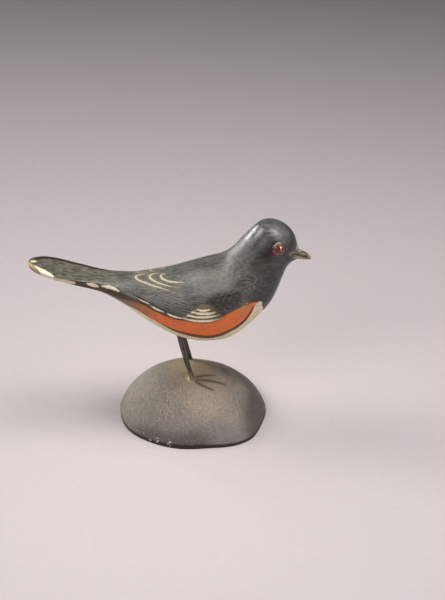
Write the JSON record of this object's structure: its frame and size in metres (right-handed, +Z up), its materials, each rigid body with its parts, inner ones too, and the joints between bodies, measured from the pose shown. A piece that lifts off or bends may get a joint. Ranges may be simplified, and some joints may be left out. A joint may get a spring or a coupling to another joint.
{
  "type": "miniature bird carving",
  "caption": "Miniature painted wooden songbird with a raised tail, standing on wire legs over a rounded wooden base.",
  "frame": {"origin": "middle of the base's flat underside, at table level", "axes": "+X towards the beak, +Y towards the bird's left side, +Z up"},
  "size_m": [0.084, 0.042, 0.0669],
  "materials": {
    "painted_bird": "oil paint on carved wood, satin and lightly worn",
    "painted_wire": "dark paint on steel wire, satin",
    "painted_base": "thin dark paint on wood, dull and rubbed"
  },
  "bodies": {
    "root": {"bird": "painted_bird", "leg_left": "painted_wire", "leg_right": "painted_wire", "base": "painted_base"}
  },
  "joints": []
}
